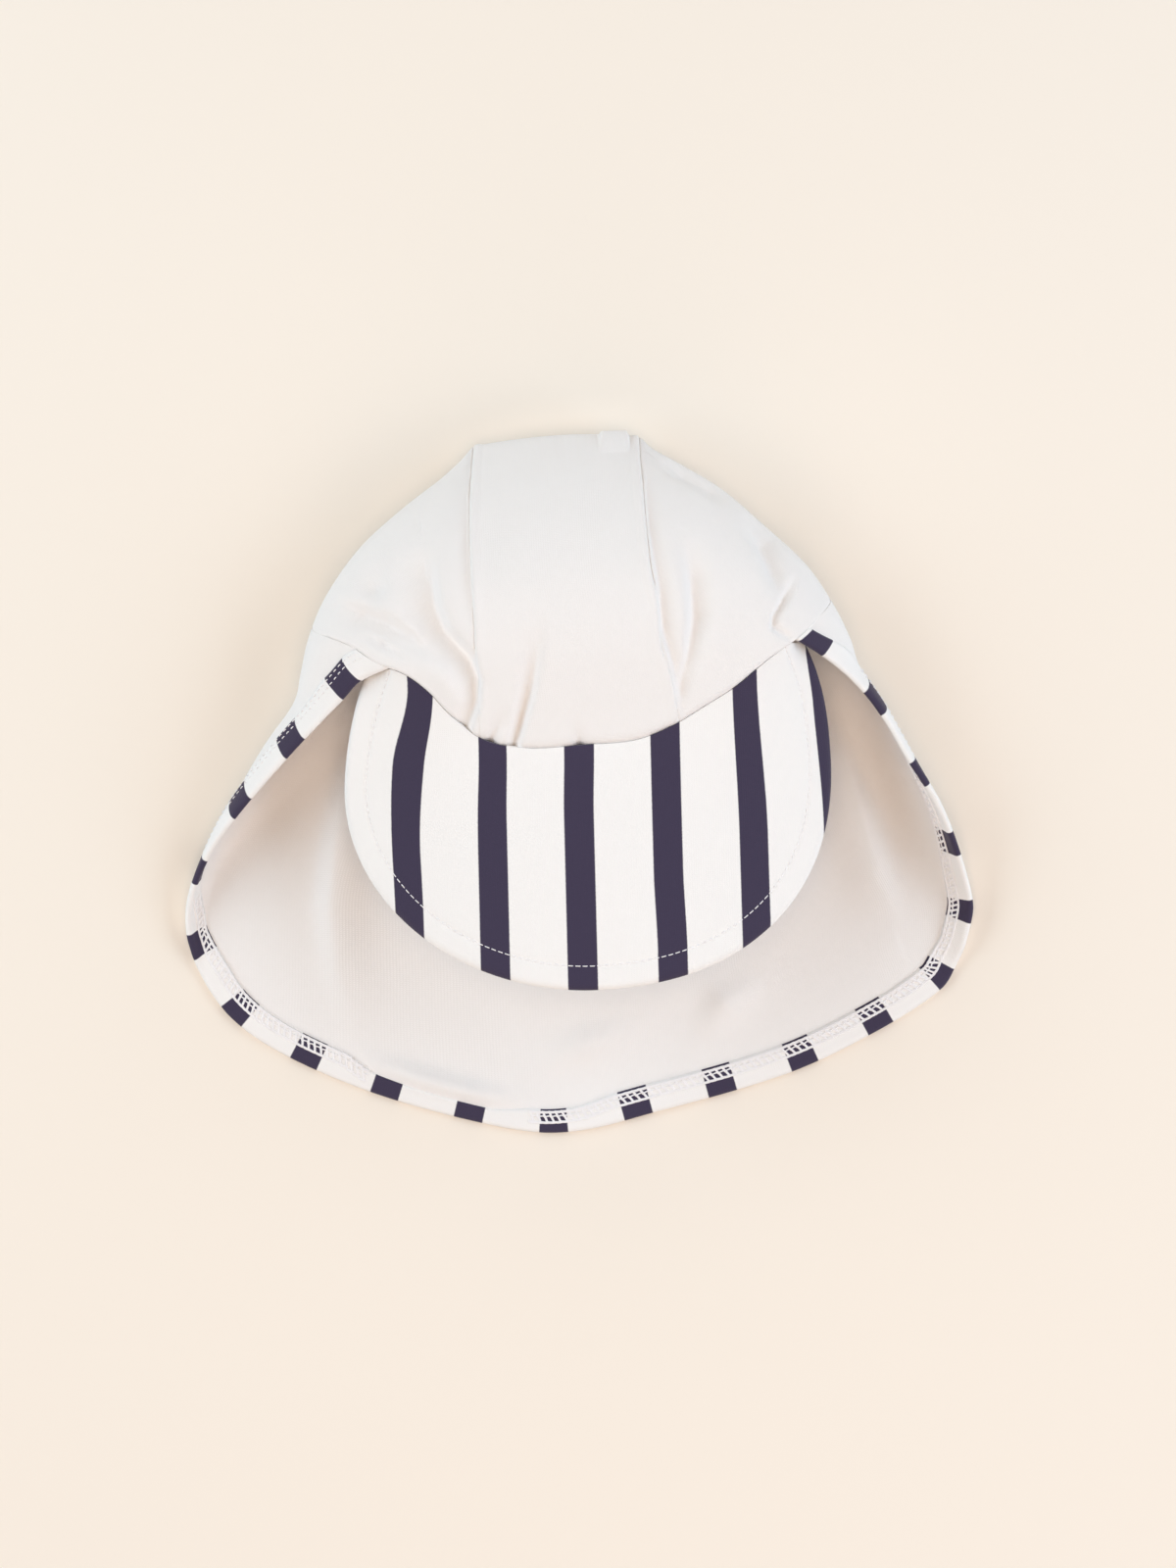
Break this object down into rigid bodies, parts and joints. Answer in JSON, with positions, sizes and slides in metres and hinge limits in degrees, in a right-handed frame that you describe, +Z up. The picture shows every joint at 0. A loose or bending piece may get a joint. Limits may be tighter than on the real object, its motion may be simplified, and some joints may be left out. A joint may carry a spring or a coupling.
{
  "type": "beach hat",
  "caption": "Small child's soft beach hat with a striped padded peak and a flap over the neck, lying on its back with the mouth open towards the peak.",
  "frame": {"origin": "middle of the hat's box, on the floor that it lies on", "axes": "+Z up from the floor, +Y towards the folded top of the crown, +X to the right as the hat is seen from above with the crown away from the viewer"},
  "size_m": [0.3188, 0.2815, 0.0615],
  "materials": {
    "white_jersey": "matt fine-knit swim jersey, plain off-white",
    "striped_jersey": "matt fine-knit swim jersey, white with broad navy stripes",
    "striped_binding": "folded strip of the same striped swim jersey"
  },
  "bodies": {
    "root": {"crown_centre": "white_jersey", "crown_left": "white_jersey", "crown_right": "white_jersey", "peak": "striped_jersey", "neck_flap": "white_jersey", "flap_binding": "striped_binding"}
  },
  "joints": []
}
